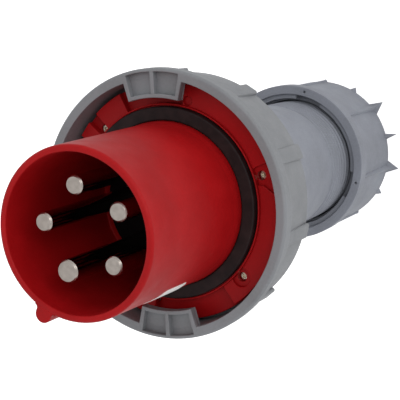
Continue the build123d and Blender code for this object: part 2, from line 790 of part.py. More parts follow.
def gland_cage():
    """Ring of clamping fingers."""
    cage = turned(
        [
            (CAGE_BORE_R, CAGE_TIP_Z),
            (CAGE_TIP_R, CAGE_TIP_Z),
            (CAGE_FINGER_R, CAGE_TAPER_Z),
            (CAGE_FINGER_R, CAGE_FINGER_TOP_Z),
            (NECK_BORE_R - GLAND_PLAY, CAGE_FINGER_TOP_Z),
            (NECK_BORE_R - GLAND_PLAY, CAGE_TOP_Z),
            (CAGE_BORE_R, CAGE_TOP_Z),
        ]
    )
    height = CAGE_FINGER_TOP_Z - CAGE_TIP_Z
    for bearing in spread(FINGER_COUNT, 0):
        slot = Pos(0, NECK_BORE_R, CAGE_TIP_Z + height / 2) * Box(FINGER_GAP, NECK_BORE_R, height)
        cage -= Rot(0, 0, -bearing) * slot
    return cage


def thrust_ring():
    """Coned ring that the nut pushes over the fingers without turning it."""
    low = NUT_WEB + THRUST_PLAY
    high = low + THRUST_HEIGHT
    outer = NUT_BORE_R - RING_PLAY
    points = [(THRUST_THROAT_R, low), (outer, low), (outer, high), (THRUST_MOUTH_R, high)]
    return turned(points)


def nut_segments():
    """Raised segments in the mouth of the nut."""
    low = NUT_HEIGHT - NUT_MOUTH_DEPTH - 1
    high = NUT_HEIGHT - NUT_MOUTH_DEPTH + SEGMENT_HEIGHT
    inner = NUT_BORE_R + SEGMENT_INNER_PLAY
    half = SEGMENT_SPAN / 2
    segments = []
    for bearing in spread(SEGMENT_COUNT, SEGMENT_BEARING):
        segments.append(sector(inner, NUT_MOUTH_R + 1, low, high, bearing - half, bearing + half))
    return segments


def fin_section(height, crest, outer, inner):
    """Section of a fin at a height, from its crest to the two feet sunk in the nut."""
    sunk = NUT_R - NUT_EDGE - FIN_SINK
    points = (spot(sunk, outer), spot(NUT_R + crest, 0), spot(sunk, inner), spot(sunk - FIN_SINK, 0))
    return Pos(0, 0, height) * make_face(Polyline(*points, close=True).edges())


def nut_fin(bearing, tip, outer, inner, ridged):
    """One fin: a spike at the rear, which may run forward as a low ridge."""
    shoulder = FIN_RIDGE + (tip - FIN_RIDGE) * FIN_SPIKE_SHARE
    end = NUT_HEIGHT - NUT_COLLAR_DEPTH + FIN_SINK
    sections = [fin_section(0, tip, outer, inner), fin_section(FIN_EDGE, tip, outer, inner)]
    if ridged:
        sections.append(fin_section(FIN_SPIKE, shoulder, outer, inner * FIN_SLIM))
        sections.append(fin_section(end, FIN_RIDGE, outer, inner * FIN_SLIM))
    else:
        sections.append(fin_section(FIN_SPIKE, -FIN_FADE, outer, inner))
    return Rot(0, 0, -bearing) * loft(sections, ruled=True)


def nut_fins():
    """Fins of both groups."""
    fins = []
    for middle in FIN_GROUPS:
        fins.append(nut_fin(middle, FIN_HEIGHT, FIN_FOOT_ANGLE, -FIN_FOOT_ANGLE, False))
        for angle, tip, outer, inner, ridged in SIDE_FINS:
            fins.append(nut_fin(middle + angle, tip, outer, -inner, ridged))
            fins.append(nut_fin(middle - angle, tip, -outer, inner, ridged))
    return fins


def gland_nut():
    """Finned nut at the cable end."""
    collar_low = NUT_HEIGHT - NUT_COLLAR_DEPTH
    mouth = NUT_HEIGHT - NUT_MOUTH_DEPTH
    nut = turned(
        [
            (NUT_HOLE_R, 0),
            (NUT_R - NUT_EDGE, 0),
            (NUT_R, NUT_EDGE),
            (NUT_R, collar_low - NUT_COLLAR_STEP),
            (NUT_COLLAR_R, collar_low),
            (NUT_COLLAR_R, NUT_HEIGHT),
            (NUT_MOUTH_R, NUT_HEIGHT),
            (NUT_MOUTH_R, mouth),
            (NUT_BORE_R, mouth),
            (NUT_BORE_R, NUT_WEB),
            (NUT_HOLE_R, NUT_WEB),
        ],
        rounds=((0, NUT_EDGE), (4, NUT_EDGE), (5, NUT_EDGE), (6, NUT_EDGE / 2)),
    )
    nut += nut_segments()
    nut += nut_fins()
    dots = (NUT_MOUTH_R + NUT_COLLAR_R) / 2
    for bearing in spread(NUT_DOT_COUNT, NUT_DOT_BEARING):
        nut -= drum(NUT_DOT_R, NUT_HEIGHT - NUT_DOT_DEPTH, NUT_HEIGHT + 1, bearing, dots)
    return nut


def main():
    os.makedirs("parts", exist_ok=True)
    shapes = {
        "front_shroud": front_shroud(),
        "blank_label": blank_label(),
        "face_gasket": face_gasket(),
        "flange_screws": flange_screws(),
        "contact_carrier": contact_carrier(),
        "carrier_seal": carrier_seal(),
        "carrier_back_plate": carrier_back_plate(),
        "carrier_screws": carrier_screws(),
        "terminal_screws": terminal_screws(),
        "bayonet_ring": bayonet_ring(),
        "rear_housing": rear_housing(),
        "housing_seal": housing_seal(),
        "gland_bush": gland_bush(),
        "gland_washer": gland_washer(),
        "gland_cage": gland_cage(),
        "thrust_ring": thrust_ring(),
        "gland_nut": gland_nut(),
    }
    for name in POLES:
        shapes[name] = contact_pin(name)
    for name, shape in shapes.items():
        export_step(shape, f"parts/{name}.step")


main()
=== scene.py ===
"""Five-pole pin and sleeve plug on a white table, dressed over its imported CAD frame."""

import json
from math import cos, degrees, hypot, pi, radians, sin

import bmesh
import bpy
from mathutils import Matrix, Vector


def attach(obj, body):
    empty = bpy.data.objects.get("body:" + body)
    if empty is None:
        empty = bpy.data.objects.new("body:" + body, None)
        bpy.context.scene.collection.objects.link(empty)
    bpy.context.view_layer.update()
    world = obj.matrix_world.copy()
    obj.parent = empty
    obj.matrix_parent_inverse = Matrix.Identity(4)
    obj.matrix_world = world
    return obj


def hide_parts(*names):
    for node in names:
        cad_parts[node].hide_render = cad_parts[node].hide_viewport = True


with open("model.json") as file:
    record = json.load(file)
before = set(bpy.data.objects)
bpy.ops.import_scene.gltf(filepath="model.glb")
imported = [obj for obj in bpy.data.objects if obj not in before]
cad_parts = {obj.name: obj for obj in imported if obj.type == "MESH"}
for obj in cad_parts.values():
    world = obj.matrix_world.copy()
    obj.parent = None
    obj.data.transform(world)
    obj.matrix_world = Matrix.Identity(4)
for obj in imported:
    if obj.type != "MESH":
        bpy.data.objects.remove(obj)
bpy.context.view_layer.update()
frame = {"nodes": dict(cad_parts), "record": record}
NODES = frame["nodes"]

MM = 0.001
LENGTH = 320.0  # mouth of the shroud to the rear face of the nut, mm
SEGMENTS = 240  # round a turned piece

# Bearing and radius of each pin.
POLES = {
    "pin_neutral": (324.0, 5.0),
    "pin_line_1": (36.0, 5.0),
    "pin_line_2": (108.0, 5.0),
    "pin_earth": (180.0, 6.0),
    "pin_line_3": (252.0, 5.0),
}
PIN_CIRCLE = 23.0


def up(station):
    """Height of a station measured back from the mouth."""
    return LENGTH - station


def spot(radius, bearing):
    """X and Y at a radius and bearing, clockwise from +Y seen into the mouth."""
    return (radius * sin(radians(bearing)), radius * cos(radians(bearing)))


# Materials


def linear(code):
    """sRGB hex code to a linear colour."""
    parts = [int(code[i : i + 2], 16) / 255 for i in (1, 3, 5)]
    return [c / 12.92 if c <= 0.04045 else ((c + 0.055) / 1.055) ** 2.4 for c in parts] + [1.0]


def add(tree, kind, inputs=None, **settings):
    """Adds a node with its settings, and with values or links on its inputs."""
    node = tree.nodes.new(kind)
    for key, value in settings.items():
        setattr(node, key, value)
    for key, value in (inputs or {}).items():
        if isinstance(value, bpy.types.NodeSocket):
            tree.links.new(value, node.inputs[key])
        else:
            node.inputs[key].default_value = value
    return node


def ramp(tree, factor, stops):
    """Colour ramp over a factor."""
    node = add(tree, "ShaderNodeValToRGB", {"Fac": factor})
    elements = node.color_ramp.elements
    while len(elements) < len(stops):
        elements.new(0.5)
    for element, (place, colour) in zip(elements, stops):
        element.position = place
        element.color = colour
    return node.outputs["Color"]


def material(name):
    """Empty node material with its shader and object coordinates."""
    made = bpy.data.materials.new(name)
    made.use_nodes = True
    tree = made.node_tree
    tree.nodes.clear()
    shader = add(tree, "ShaderNodeBsdfPrincipled")
    output = add(tree, "ShaderNodeOutputMaterial", {"Surface": shader.outputs[0]})
    output.location = (400, 0)
    place = add(tree, "ShaderNodeTexCoord").outputs["Object"]
    return made, tree, shader, place


def noise(tree, place, size_mm, detail=2.0, rough=0.5):
    """Noise whose features are about size_mm across."""
    settings = {"Vector": place, "Scale": 1000.0 / size_mm, "Detail": detail, "Roughness": rough}
    return add(tree, "ShaderNodeTexNoise", settings).outputs["Fac"]


def moulded(name, dark, plain, light, rough, grain=0.06, specular=0.5):
    """Injection-moulded plastic: uneven melt tint, spark-eroded grain, patchy polish."""
    made, tree, shader, place = material(name)
    # Cloudy tint about 28 mm across with fine specks of pigment 1.4 mm across.
    cloud = noise(tree, place, 28.0, 3.0)
    speck = noise(tree, place, 1.4, 2.0)
    mixed = add(tree, "ShaderNodeMath", {0: speck, 1: 0.3}, operation="MULTIPLY").outputs[0]
    both = add(tree, "ShaderNodeMath", {0: cloud, 1: 0.7, 2: mixed}, operation="MULTIPLY_ADD")
    stops = ((0.36, linear(dark)), (0.5, linear(plain)), (0.64, linear(light)))
    tree.links.new(ramp(tree, both.outputs[0], stops), shader.inputs["Base Color"])
    # Handling polishes it in patches about 9 mm across.
    patch = noise(tree, place, 9.0, 3.0)
    range_inputs = {"Value": patch, "From Min": 0.3, "From Max": 0.7}
    range_inputs |= {"To Min": rough - 0.05, "To Max": rough + 0.06}
    rub = add(tree, "ShaderNodeMapRange", range_inputs).outputs["Result"]
    tree.links.new(rub, shader.inputs["Roughness"])
    # Spark-eroded mould grain, really 0.1 mm, drawn at 0.7 mm so that it shows.
    bumps = {"Height": noise(tree, place, 0.7, 3.0), "Strength": grain, "Distance": 0.0002}
    tree.links.new(add(tree, "ShaderNodeBump", bumps).outputs[0], shader.inputs["Normal"])
    shader.inputs["Specular IOR Level"].default_value = specular
    return made


def rubber(name, code, pale):
    """Vulcanised rubber: matt, with dusty paler patches."""
    made, tree, shader, place = material(name)
    cloud = noise(tree, place, 6.0, 4.0)
    stops = ((0.35, linear(code)), (0.75, linear(pale)))
    tree.links.new(ramp(tree, cloud, stops), shader.inputs["Base Color"])
    bumps = {"Height": noise(tree, place, 0.9, 2.0), "Strength": 0.12, "Distance": 0.0002}
    tree.links.new(add(tree, "ShaderNodeBump", bumps).outputs[0], shader.inputs["Normal"])
    shader.inputs["Roughness"].default_value = 0.62
    shader.inputs["Specular IOR Level"].default_value = 0.2
    return made


def metal(name, dark, light, rough, side=None):
    """Plated metal with fine wear; side is the roughness of its polished upright faces."""
    made, tree, shader, place = material(name)
    # Plating tint in blotches about 3 mm across.
    blotch = noise(tree, place, 3.0, 3.0)
    stops = ((0.35, linear(dark)), (0.65, linear(light)))
    tree.links.new(ramp(tree, blotch, stops), shader.inputs["Base Color"])
    shader.inputs["Metallic"].default_value = 1.0
    # Handling wear about 1.2 mm across varies the polish.
    wear = noise(tree, place, 1.2, 2.0)
    range_inputs = {"Value": wear, "From Min": 0.3, "From Max": 0.7}
    range_inputs |= {"To Min": rough - 0.04, "To Max": rough + 0.05}
    worn = add(tree, "ShaderNodeMapRange", range_inputs).outputs["Result"]
    if side is not None:
        # End faces are turned satin, the sides are drawn and polished.
        normal = place.node.outputs["Normal"]
        facing = add(tree, "ShaderNodeSeparateXYZ", {"Vector": normal}).outputs["Z"]
        level = add(tree, "ShaderNodeMath", {0: facing}, operation="ABSOLUTE").outputs[0]
        band = {"Value": level, "From Min": 0.5, "From Max": 0.9, "To Min": side, "To Max": worn}
        worn = add(tree, "ShaderNodeMapRange", band).outputs["Result"]
    tree.links.new(worn, shader.inputs["Roughness"])
    return made


def film(name):
    """Matt white label film, slightly uneven."""
    made, tree, shader, place = material(name)
    cloud = noise(tree, place, 5.0, 3.0)
    stops = ((0.35, linear("#e0dedc")), (0.65, linear("#eceae8")))
    tree.links.new(ramp(tree, cloud, stops), shader.inputs["Base Color"])
    shader.inputs["Roughness"].default_value = 0.45
    return made


RED = moulded("moulded_red_polyamide", "#930b0f", "#9b0d11", "#a31014", 0.45, 0.03, 0.14)
RING = moulded("moulded_ring_polyamide", "#717377", "#77797c", "#7d7f83", 0.5, 0.03, 0.4)
GREY = moulded("moulded_housing_polyamide", "#777a82", "#7e818a", "#848891", 0.5, 0.03, 0.4)
NUT = moulded("moulded_nut_polyamide", "#777a82", "#7e818a", "#848891", 0.5, 0.03, 0.4)
PALE = moulded("moulded_natural_polyamide", "#b9b5a8", "#c6c2b6", "#cfccc1", 0.5)
BLACK = moulded("moulded_black_polyamide", "#060506", "#0a0909", "#0f0d0d", 0.5, 0.03, 0.1)
RUBBER = rubber("vulcanised_black_rubber", "#190f10", "#2a1c1c")
NICKEL = metal("nickel_plated_brass", "#a59d96", "#b4aca5", 0.36, 0.1)
ZINC = metal("zinc_plated_steel", "#bdb39f", "#ded5c3", 0.3)
FILM = film("matt_label_film")

SLOTS = {
    "red_polyamide": RED,
    "ring_polyamide": RING,
    "housing_polyamide": GREY,
    "nut_polyamide": NUT,
    "natural_polyamide": PALE,
    "black_polyamide": BLACK,
    "black_rubber": RUBBER,
    "pin_metal": NICKEL,
    "screw_steel": ZINC,
    "label_film": FILM,
}


# Shapes

TINY = 1e-6
CORNER_SHARE = 0.45  # most of a side that one rounding may take
SUPPORT_GAP = 1.2  # a longer side gets a point near each end, mm
SUPPORT_INSET = 0.25


def linked(name, data):
    """Object of a mesh or curve, linked to the scene."""
    made = bpy.data.objects.new(name, data)
    bpy.context.scene.collection.objects.link(made)
    return made


def put(name, mesh, finish, smooth=35.0):
    """Object of a mesh, shaded smooth up to an angle."""
    mesh.materials.clear()
    mesh.materials.append(finish)
    mesh.shade_smooth()
    mesh.set_sharp_from_angle(angle=radians(smooth))
    return linked(name, mesh)


def plain(source):
    """Plain mesh of an object as its modifiers leave it."""
    bpy.context.view_layer.update()
    graph = bpy.context.evaluated_depsgraph_get()
    return bpy.data.meshes.new_from_object(source.evaluated_get(graph))


def closed(name, shape, finish):
    """Object of a closed bmesh, with its faces turned outwards."""
    bmesh.ops.recalc_face_normals(shape, faces=shape.faces)
    mesh = bpy.data.meshes.new(name)
    shape.to_mesh(mesh)
    shape.free()
    return put(name, mesh, finish)


def joined(name, pieces, finish):
    """One piece out of several objects that share a finish."""
    shape = bmesh.new()
    for piece in pieces:
        mesh = plain(piece)
        shape.from_mesh(mesh)
        bpy.data.objects.remove(piece)
        bpy.data.meshes.remove(mesh)
    mesh = bpy.data.meshes.new(name)
    shape.to_mesh(mesh)
    shape.free()
    return put(name, mesh, finish)


def rounded(points, steps=4):
    """Closed outline of (x, y, radius) corners, rounded, with close-set points by long sides."""
    made = []
    count = len(points)
    for i, (x, y, size) in enumerate(points):
        here = Vector((x, y))
        back = Vector(points[i - 1][:2]) - here
        ahead = Vector(points[(i + 1) % count][:2]) - here
        if size <= 0 or back.length < TINY or ahead.length < TINY:
            made.append((x, y))
            continue
        half = back.angle(ahead) / 2
        run = size / max(sin(half) / cos(half), 1e-3)
        run = min(run, CORNER_SHARE * min(back.length, ahead.length))
        size = run * sin(half) / cos(half)
        centre = here + (back.normalized() + ahead.normalized()).normalized() * (size / sin(half))
        first = here + back.normalized() * run - centre
        last = here + ahead.normalized() * run - centre
        turn = first.angle_signed(last)
        for k in range(steps + 1):
            # angle_signed is clockwise in 2D, Matrix.Rotation is anticlockwise.
            spun = Matrix.Rotation(-turn * k / steps, 2) @ first
            made.append(tuple(centre + spun))
    held = []
    for i, (x, y) in enumerate(made):
        held.append((x, y))
        next_x, next_y = made[(i + 1) % len(made)]
        gap = hypot(next_x - x, next_y - y)
        if gap > SUPPORT_GAP:
            near = SUPPORT_INSET / gap
            for share in (near, 1 - near):
                held.append((x + (next_x - x) * share, y + (next_y - y) * share))
    return held


def lathe(name, points, finish, centre=(0.0, 0.0), segments=SEGMENTS, edge=0.25):
    """Solid turned about a vertical axis, from closed (radius, height[, rounding]) corners."""
    corners = [(p[0], p[1], p[2] if len(p) > 2 else edge) for p in points]
    corners = [(r, z, 0 if r < TINY else size) for r, z, size in corners]
    shape = bmesh.new()
    rings = []
    for r, z in rounded(corners):
        if r < TINY:
            rings.append([shape.verts.new((centre[0] * MM, centre[1] * MM, z * MM))])
            continue
        ring = []
        for k in range(segments):
            angle = 2 * pi * k / segments
            x = centre[0] + r * cos(angle)
            y = centre[1] + r * sin(angle)
            ring.append(shape.verts.new((x * MM, y * MM, z * MM)))
        rings.append(ring)
    for i, low in enumerate(rings):
        high = rings[(i + 1) % len(rings)]
        if len(low) == 1 and len(high) == 1:
            continue
        for k in range(segments):
            after = (k + 1) % segments
            if len(low) == 1:
                shape.faces.new((low[0], high[after], high[k]))
            elif len(high) == 1:
                shape.faces.new((low[k], low[after], high[0]))
            else:
                shape.faces.new((low[k], low[after], high[after], high[k]))
    return closed(name, shape, finish)


def arc(radius, start, end, step=1.5):
    """Points along a circle about the plug axis."""
    count = max(2, int(abs(end - start) / step) + 1)
    return [spot(radius, start + (end - start) * i / (count - 1)) for i in range(count)]


def sector_loop(inner, outer, start, end):
    """Outline of a ring sector."""
    return arc(outer, start, end) + arc(inner, end, start)


def circle(radius, x=0.0, y=0.0, count=48):
    """Points round a circle."""
    angles = [2 * pi * i / count for i in range(count)]
    return [(x + radius * cos(angle), y + radius * sin(angle)) for angle in angles]


def plate(name, loops, low, high, finish, edge=0.3):
    """Flat-faced piece between two heights, cut to closed outlines, with rounded edges."""
    curve = bpy.data.curves.new(name, "CURVE")
    curve.dimensions = "2D"
    curve.fill_mode = "BOTH"
    curve.bevel_depth = edge * MM
    curve.bevel_resolution = 2
    curve.offset = -edge * MM
    curve.extrude = ((high - low) / 2 - edge) * MM
    for loop in loops:
        spline = curve.splines.new("POLY")
        spline.points.add(len(loop) - 1)
        for point, (x, y) in zip(spline.points, loop):
            point.co = (x * MM, y * MM, 0.0, 1.0)
        spline.use_cyclic_u = True
    holder = linked(name, curve)
    mesh = plain(holder)
    bpy.data.objects.remove(holder)
    mesh.transform(Matrix.Translation((0, 0, (low + high) / 2 * MM)))
    shape = bmesh.new()
    shape.from_mesh(mesh)
    bmesh.ops.remove_doubles(shape, verts=shape.verts, dist=TINY)
    bmesh.ops.recalc_face_normals(shape, faces=shape.faces)
    shape.to_mesh(mesh)
    shape.free()
    made = put(name, mesh, finish)
    even = made.modifiers.new("even", "WEIGHTED_NORMAL")
    even.keep_sharp = True
    mesh = plain(made)
    bpy.data.objects.remove(made)
    return linked(name, mesh)


def circle_tree():
    """Geometry Nodes that repeat a piece round the plug axis."""
    tree = bpy.data.node_groups.new("repeat_round_axis", "GeometryNodeTree")
    face = tree.interface
    face.new_socket("Geometry", in_out="INPUT", socket_type="NodeSocketGeometry")
    face.new_socket("Count", in_out="INPUT", socket_type="NodeSocketInt")
    face.new_socket("First bearing", in_out="INPUT", socket_type="NodeSocketFloat")
    face.new_socket("Finish", in_out="INPUT", socket_type="NodeSocketMaterial")
    face.new_socket("Geometry", in_out="OUTPUT", socket_type="NodeSocketGeometry")
    given = add(tree, "NodeGroupInput")
    points = add(tree, "GeometryNodePoints", {"Count": given.outputs["Count"]})
    index = add(tree, "GeometryNodeInputIndex").outputs[0]
    whole = {0: 2 * pi, 1: given.outputs["Count"]}
    share = add(tree, "ShaderNodeMath", whole, operation="DIVIDE").outputs[0]
    turned = {0: index, 1: share, 2: given.outputs["First bearing"]}
    turn = add(tree, "ShaderNodeMath", turned, operation="MULTIPLY_ADD").outputs[0]
    back = add(tree, "ShaderNodeMath", {0: turn, 1: -1.0}, operation="MULTIPLY").outputs[0]
    spin = add(tree, "ShaderNodeCombineXYZ", {"Z": back}).outputs[0]
    copies = {"Points": points.outputs[0], "Instance": given.outputs["Geometry"], "Rotation": spin}
    placed = add(tree, "GeometryNodeInstanceOnPoints", copies).outputs[0]
    real = add(tree, "GeometryNodeRealizeInstances", {"Geometry": placed}).outputs[0]
    dressed = {"Geometry": real, "Material": given.outputs["Finish"]}
    done = add(tree, "GeometryNodeSetMaterial", dressed).outputs[0]
    add(tree, "NodeGroupOutput", {"Geometry": done})
    return tree


ROUND_AXIS = circle_tree()


def repeated(name, piece, count, bearing, finish):
    """A piece modelled at bearing 0, repeated round the axis as one mesh."""
    modifier = piece.modifiers.new("copies", "NODES")
    modifier.node_group = ROUND_AXIS
    items = ROUND_AXIS.interface.items_tree
    sockets = {item.name: item.identifier for item in items if item.in_out == "INPUT"}
    modifier[sockets["Count"]] = count
    modifier[sockets["First bearing"]] = radians(bearing)
    modifier[sockets["Finish"]] = finish
    mesh = plain(piece)
    bpy.data.objects.remove(piece)
    mesh.name = name
    return linked(name, mesh)


def solid(name, corners, faces, finish, edge=0.4, segments=3):
    """Straight-sided solid with bevelled edges."""
    mesh = bpy.data.meshes.new(name)
    mesh.from_pydata([(x * MM, y * MM, z * MM) for x, y, z in corners], [], faces)
    shape = bmesh.new()
    shape.from_mesh(mesh)
    bmesh.ops.recalc_face_normals(shape, faces=shape.faces)
    bmesh.ops.bevel(
        shape,
        geom=shape.edges[:],
        offset=edge * MM,
        segments=segments,
        affect="EDGES",
        profile=0.5,
        clamp_overlap=True,
    )
    shape.to_mesh(mesh)
    shape.free()
    return put(name, mesh, finish)


BOX_FACES = [(0, 1, 2, 3), (7, 6, 5, 4), (0, 4, 5, 1), (1, 5, 6, 2), (2, 6, 7, 3), (3, 7, 4, 0)]


def show(piece, body, slot, *nodes):
    """Puts a finished piece on its body in place of its nodes."""
    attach(piece, body)
    if nodes:
        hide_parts(*nodes)


# Red shroud, flange and key: names in _S are stations behind the mouth, all in mm and degrees

MOUTH_R = 43.7
MOUTH_BORE_R = 40.1
DEEP_BORE_R = 39.6
TAPER_S = 84.0
TAPER_R = 44.8
ROOT_S = 88.0
ROOT_R = 45.3
LIP_S = 92.0
LIP_BACK_S = 96.0
LIP_R = 36.0
CARRIER_BORE_R = 41.0
HUB_R = 47.0
COLLAR_S = 94.0
COLLAR_R = 54.5
COLLAR_INNER_R = 53.6
FLANGE_S = 96.0
FLANGE_R = 66.5
FLANGE_BORE_R = 46.0
POCKET_S = 98.0
RECESS_S = 100.0
SEAT_S = 102.6
JOINT_S = 108.0

KEY_HALF = 4.5
KEY_CENTRE_R = 46.0
KEY_FOOT_R = 43.3
KEY_SUNK_R = 42.3
KEY_FILLET = 2.0
KEY_END_S = 85.0

SCREW_COUNT = 6
SCREW_CIRCLE = 57.2
SCREW_BEARING = 46.7
WELL_R = 2.6
POCKET_R = 5.2
POCKETS = (46.7, 106.7, 226.7)
POCKET_SIDE = 31  # how far round a pocket its rim runs past the widest place
POCKET_NEAR = 5.3  # from a pocket's middle to its near side at the outer edge
POCKET_FAR = 12.7  # the same on the flared side
POCKET_FOOT = 4.4  # the same at the collar, on both sides

LAND_R = 66.1
LAND_INNER_R = 54.0
LAND_EDGE = 0.45
LONG_LAND = (343.5, 479.0)
SHORT_LAND = (165.0, 268.0)
SMALL_LANDS = ((276.0, 284.0), (290.0, 307.0))


def well(bearing):
    """Outline of a screw well."""
    return circle(WELL_R, *spot(SCREW_CIRCLE, bearing), count=32)


def pocket_arc(bearing, start, end, steps):
    """Points on a pocket's rim, from angles anticlockwise from the increasing bearing."""
    x0, y0 = spot(SCREW_CIRCLE, bearing)
    out = Vector(spot(1.0, bearing))
    along = Vector((out.y, -out.x))
    points = []
    for i in range(steps + 1):
        angle = radians(start + (end - start) * i / steps)
        offset = along * cos(angle) + out * sin(angle)
        points.append((x0 + POCKET_R * offset.x, y0 + POCKET_R * offset.y))
    return points


def shroud_tube():
    """Tapered tube with its inner lip, flange hub and the collar round the gasket."""
    corners = [
        (MOUTH_BORE_R, up(0), 0.9),
        (MOUTH_R, up(0), 1.7),
        (TAPER_R, up(TAPER_S), 1.5),
        (ROOT_R, up(ROOT_S), 1.5),
        (ROOT_R, up(FLANGE_S), 0.3),
        (COLLAR_INNER_R, up(FLANGE_S), 0.2),
        (COLLAR_INNER_R, up(COLLAR_S), 0.4),
        (COLLAR_R, up(COLLAR_S), 0.4),
        (COLLAR_R, up(SEAT_S), 0.1),
        (HUB_R, up(SEAT_S), 0.1),
        (HUB_R, up(JOINT_S), 0.1),
        (CARRIER_BORE_R, up(JOINT_S), 0.3),
        (CARRIER_BORE_R, up(LIP_BACK_S), 0.3),
        (LIP_R, up(LIP_BACK_S), 0.3),
        (LIP_R, up(LIP_S), 0.5),
        (DEEP_BORE_R, up(LIP_S), 0.8),
    ]
    return lathe("shroud_tube", corners, RED)


def shroud_key():
    """Locating key with a round nose and small fillets at its foot."""
    foot = KEY_HALF + KEY_FILLET
    side = []
    for i in range(7):
        angle = radians(90 * i / 6)
        across = foot - KEY_FILLET * sin(angle)
        side.append((across, KEY_FOOT_R + KEY_FILLET * (1 - cos(angle))))
    nose = []
    for angle in range(0, 181, 12):
        across = KEY_HALF * cos(radians(angle))
        nose.append((across, KEY_CENTRE_R + KEY_HALF * sin(radians(angle))))
    left = [(-x, y) for x, y in reversed(side)]
    sunk = foot - 0.1
    loop = [(sunk, KEY_SUNK_R), *side, *nose, *left, (-sunk, KEY_SUNK_R)]
    loop = [(x, -y) for x, y in loop]
    return plate("shroud_key", [loop], up(KEY_END_S), up(0), RED, edge=0.7)


def flange_disc():
    """Floor of the flange with its wells, and the disc behind it."""
    wells = [well(SCREW_BEARING + 360 / SCREW_COUNT * i) for i in range(SCREW_COUNT)]
    loops = [circle(FLANGE_R, count=240), *wells]
    back = [
        (FLANGE_BORE_R, up(JOINT_S)),
        (FLANGE_R, up(JOINT_S), 0.5),
        (FLANGE_R, up(SEAT_S), 0.1),
        (FLANGE_BORE_R, up(SEAT_S), 0.1),
    ]
    return [
        plate("flange_floor", loops, up(SEAT_S), up(RECESS_S), RED, 0.4),
        lathe("flange_back", back, RED),
    ]


def land_base(span, screws):
    """Lower part of a land, with the wells of the given screws."""
    loop = sector_loop(LAND_INNER_R, LAND_R, *span)
    holes = [well(bearing) for bearing in screws]
    return plate("land_base", [loop, *holes], up(RECESS_S + 0.5), up(POCKET_S) + 0.3, RED, 0.2)


def land_top(loop, *holes):
    """Upper part of a land, with an outline that leaves out the pockets."""
    return plate("land_top", [loop, *holes], up(POCKET_S), up(FLANGE_S), RED, LAND_EDGE)


def before_pocket(pocket, start):
    """Outline of a land's top from its start to the near side of a pocket."""
    loop = arc(LAND_R, start, pocket - POCKET_NEAR)
    loop += pocket_arc(pocket, 180, 180 + POCKET_SIDE, 6)
    return loop + arc(LAND_INNER_R, pocket - POCKET_FOOT, start)


def flange_lands():
    """Raised lands with pockets. Their bases cover the screws at bearings 346.7 and 166.7."""
    first, second, third = POCKETS
    parts = [land_base(LONG_LAND, (first + 360, second + 360)), land_base(SHORT_LAND, (third,))]
    start = LONG_LAND[0] - 360
    parts.append(land_top(before_pocket(first, start), well(SCREW_BEARING - 60)))
    parts.append(land_top(before_pocket(third, SHORT_LAND[0])))
    end = LONG_LAND[1] - 360
    loop = arc(LAND_R, first + POCKET_FAR, end) + arc(LAND_INNER_R, end, second + POCKET_FOOT)
    loop += pocket_arc(second, -POCKET_SIDE, 180 + POCKET_SIDE, 30)
    loop += arc(LAND_INNER_R, second - POCKET_FOOT, first + POCKET_FOOT)
    loop += pocket_arc(first, -POCKET_SIDE, 0, 6)
    parts.append(land_top(loop))
    end = SHORT_LAND[1]
    loop = arc(LAND_R, third + POCKET_FAR, end) + arc(LAND_INNER_R, end, third + POCKET_FOOT)
    loop += pocket_arc(third, -POCKET_SIDE, 0, 6)
    parts.append(land_top(loop))
    for span in SMALL_LANDS:
        loop = sector_loop(LAND_INNER_R, LAND_R, *span)
        low = up(RECESS_S + 0.5)
        parts.append(plate("small_land", [loop], low, up(FLANGE_S), RED, LAND_EDGE))
    return parts


SHROUD_PARTS = [shroud_tube(), shroud_key(), *flange_disc(), *flange_lands()]
show(joined("red_shroud", SHROUD_PARTS, RED), "plug", "red_polyamide", "front_shroud")

# Gasket

GASKET_R = 53.0
GASKET_INNER_R = 45.45
GASKET_FRONT_S = 91.0


def gasket():
    """Flat gasket with a rounded front face."""
    corners = [
        (GASKET_INNER_R, up(FLANGE_S), 0.2),
        (GASKET_R, up(FLANGE_S), 0.2),
        (GASKET_R, up(GASKET_FRONT_S), 0.9),
        (GASKET_INNER_R, up(GASKET_FRONT_S), 0.9),
    ]
    return lathe("flat_gasket", corners, RUBBER)


show(gasket(), "plug", "black_rubber", "face_gasket")

# Label

LABEL_FRONT_S = 38.0
LABEL_REAR_S = 60.5
LABEL_FIRST = 114.0
LABEL_LAST = 160.0
LABEL_CORNER = 2.0
LABEL_R = 44.0  # about the shroud's radius under the label
LABEL_LIFTS = (0.02, 0.35)  # back and face of the film above the shroud
LABEL_ACROSS = 40
LABEL_ALONG = 12


def label_row(shape, j, lift):
    """Vertices across the label at one station, shorter near its rounded corners."""
    s = LABEL_FRONT_S + (LABEL_REAR_S - LABEL_FRONT_S) * j / LABEL_ALONG
    near = min(s - LABEL_FRONT_S, LABEL_REAR_S - s)
    cut = 0.0
    if near < LABEL_CORNER:
        rise = (LABEL_CORNER**2 - (LABEL_CORNER - near) ** 2) ** 0.5
        cut = degrees((LABEL_CORNER - rise) / LABEL_R)
    r = MOUTH_R + (TAPER_R - MOUTH_R) * s / TAPER_S + lift
    span = LABEL_LAST - LABEL_FIRST - 2 * cut
    row = []
    for i in range(LABEL_ACROSS + 1):
        x, y = spot(r, LABEL_FIRST + cut + span * i / LABEL_ACROSS)
        row.append(shape.verts.new((x * MM, y * MM, up(s) * MM)))
    return row


